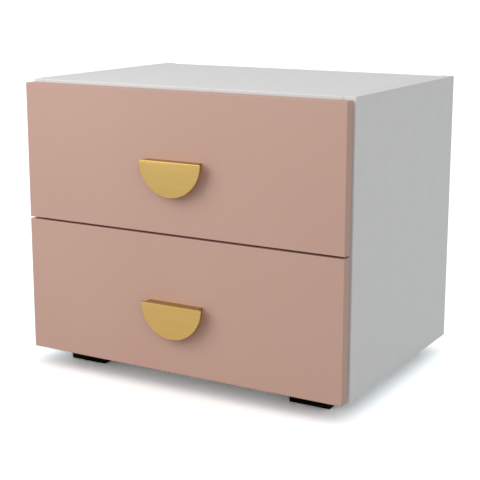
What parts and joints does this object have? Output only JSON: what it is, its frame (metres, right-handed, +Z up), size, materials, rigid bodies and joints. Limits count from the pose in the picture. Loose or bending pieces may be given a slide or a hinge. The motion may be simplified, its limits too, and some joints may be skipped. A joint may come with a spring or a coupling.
{
  "type": "nightstand",
  "caption": "White bedside cabinet with drawers on roller runners, dusty pink flat fronts, half-moon brass handles and low black block feet.",
  "frame": {"origin": "on the floor, under the middle of the box that holds the whole piece with its handles", "axes": "+X to the right as seen from the front, +Y to the back, +Z up"},
  "size_m": [0.5, 0.375, 0.414],
  "materials": {
    "white_melamine_board": "satin melamine-faced chipboard",
    "pink_lacquered_board": "satin lacquered fibreboard",
    "drawer_board": "satin foil-wrapped fibreboard",
    "white_hardboard": "satin painted hardboard",
    "brushed_brass": "satin brushed",
    "black_plastic": "matte moulded",
    "coated_steel": "satin epoxy coating",
    "nylon": "natural white nylon",
    "zinc_plated_steel": "zinc plated",
    "beech": "bare beech"
  },
  "bodies": {
    "carcass": {"back_panel": "white_hardboard", "bottom_panel": "white_melamine_board", "carcass_cam_bolts": "zinc_plated_steel", "carcass_cams": "zinc_plated_steel", "carcass_dowels": "beech", "foot_front_left": "black_plastic", "foot_front_right": "black_plastic", "foot_rear_left": "black_plastic", "foot_rear_right": "black_plastic", "foot_screws": "zinc_plated_steel", "side_panel_left": "white_melamine_board", "side_panel_right": "white_melamine_board", "top_panel": "white_melamine_board", "upper_cabinet_roller_axles": "zinc_plated_steel", "upper_cabinet_runner_left": "coated_steel", "upper_cabinet_runner_right": "coated_steel", "lower_cabinet_roller_axles": "zinc_plated_steel", "lower_cabinet_runner_left": "coated_steel", "lower_cabinet_runner_right": "coated_steel"},
    "upper_drawer": {"upper_drawer_back": "drawer_board", "upper_drawer_back_screws": "zinc_plated_steel", "upper_drawer_bottom": "white_hardboard", "upper_drawer_cam_bolts": "zinc_plated_steel", "upper_drawer_cams": "zinc_plated_steel", "upper_drawer_dowels": "beech", "upper_drawer_roller_axles": "zinc_plated_steel", "upper_drawer_runner_left": "coated_steel", "upper_drawer_runner_right": "coated_steel", "upper_drawer_side_left": "drawer_board", "upper_drawer_side_right": "drawer_board", "upper_front": "pink_lacquered_board", "upper_handle": "brushed_brass", "upper_handle_screws": "zinc_plated_steel"},
    "lower_drawer": {"lower_drawer_back": "drawer_board", "lower_drawer_back_screws": "zinc_plated_steel", "lower_drawer_bottom": "white_hardboard", "lower_drawer_cam_bolts": "zinc_plated_steel", "lower_drawer_cams": "zinc_plated_steel", "lower_drawer_dowels": "beech", "lower_drawer_roller_axles": "zinc_plated_steel", "lower_drawer_runner_left": "coated_steel", "lower_drawer_runner_right": "coated_steel", "lower_drawer_side_left": "drawer_board", "lower_drawer_side_right": "drawer_board", "lower_front": "pink_lacquered_board", "lower_handle": "brushed_brass", "lower_handle_screws": "zinc_plated_steel"},
    "upper_cabinet_roller_left": {"upper_cabinet_roller_left": "nylon"},
    "upper_cabinet_roller_right": {"upper_cabinet_roller_right": "nylon"},
    "upper_drawer_roller_left": {"upper_drawer_roller_left": "nylon"},
    "upper_drawer_roller_right": {"upper_drawer_roller_right": "nylon"},
    "lower_cabinet_roller_left": {"lower_cabinet_roller_left": "nylon"},
    "lower_cabinet_roller_right": {"lower_cabinet_roller_right": "nylon"},
    "lower_drawer_roller_left": {"lower_drawer_roller_left": "nylon"},
    "lower_drawer_roller_right": {"lower_drawer_roller_right": "nylon"}
  },
  "joints": [
    {"name": "upper_drawer_slide", "type": "slide", "parent": "carcass", "child": "upper_drawer", "axis": [0, -1, 0], "range_m": [0, 0.23]},
    {"name": "lower_drawer_slide", "type": "slide", "parent": "carcass", "child": "lower_drawer", "axis": [0, -1, 0], "range_m": [0, 0.23]},
    {"name": "upper_cabinet_roller_left_spin", "type": "hinge", "parent": "carcass", "child": "upper_cabinet_roller_left", "pos_m": [-0.22675, -0.1365, 0.2588], "axis": [1, 0, 0], "range_deg": [0, 1320]},
    {"name": "upper_cabinet_roller_right_spin", "type": "hinge", "parent": "carcass", "child": "upper_cabinet_roller_right", "pos_m": [0.22675, -0.1365, 0.2588], "axis": [1, 0, 0], "range_deg": [0, 1320]},
    {"name": "upper_drawer_roller_left_spin", "type": "hinge", "parent": "upper_drawer", "child": "upper_drawer_roller_left", "pos_m": [-0.22475, 0.138, 0.2587], "axis": [1, 0, 0], "range_deg": [0, 1320]},
    {"name": "upper_drawer_roller_right_spin", "type": "hinge", "parent": "upper_drawer", "child": "upper_drawer_roller_right", "pos_m": [0.22475, 0.138, 0.2587], "axis": [1, 0, 0], "range_deg": [0, 1320]},
    {"name": "lower_cabinet_roller_left_spin", "type": "hinge", "parent": "carcass", "child": "lower_cabinet_roller_left", "pos_m": [-0.22675, -0.1365, 0.0643], "axis": [1, 0, 0], "range_deg": [0, 1320]},
    {"name": "lower_cabinet_roller_right_spin", "type": "hinge", "parent": "carcass", "child": "lower_cabinet_roller_right", "pos_m": [0.22675, -0.1365, 0.0643], "axis": [1, 0, 0], "range_deg": [0, 1320]},
    {"name": "lower_drawer_roller_left_spin", "type": "hinge", "parent": "lower_drawer", "child": "lower_drawer_roller_left", "pos_m": [-0.22475, 0.138, 0.0642], "axis": [1, 0, 0], "range_deg": [0, 1320]},
    {"name": "lower_drawer_roller_right_spin", "type": "hinge", "parent": "lower_drawer", "child": "lower_drawer_roller_right", "pos_m": [0.22475, 0.138, 0.0642], "axis": [1, 0, 0], "range_deg": [0, 1320]}
  ],
  "couplings": [
    {"joint": "upper_cabinet_roller_left_spin", "follows": "upper_drawer_slide", "rad_per_m": 100},
    {"joint": "upper_cabinet_roller_right_spin", "follows": "upper_drawer_slide", "rad_per_m": 100},
    {"joint": "upper_drawer_roller_left_spin", "follows": "upper_drawer_slide", "rad_per_m": 100},
    {"joint": "upper_drawer_roller_right_spin", "follows": "upper_drawer_slide", "rad_per_m": 100},
    {"joint": "lower_cabinet_roller_left_spin", "follows": "lower_drawer_slide", "rad_per_m": 100},
    {"joint": "lower_cabinet_roller_right_spin", "follows": "lower_drawer_slide", "rad_per_m": 100},
    {"joint": "lower_drawer_roller_left_spin", "follows": "lower_drawer_slide", "rad_per_m": 100},
    {"joint": "lower_drawer_roller_right_spin", "follows": "lower_drawer_slide", "rad_per_m": 100}
  ]
}
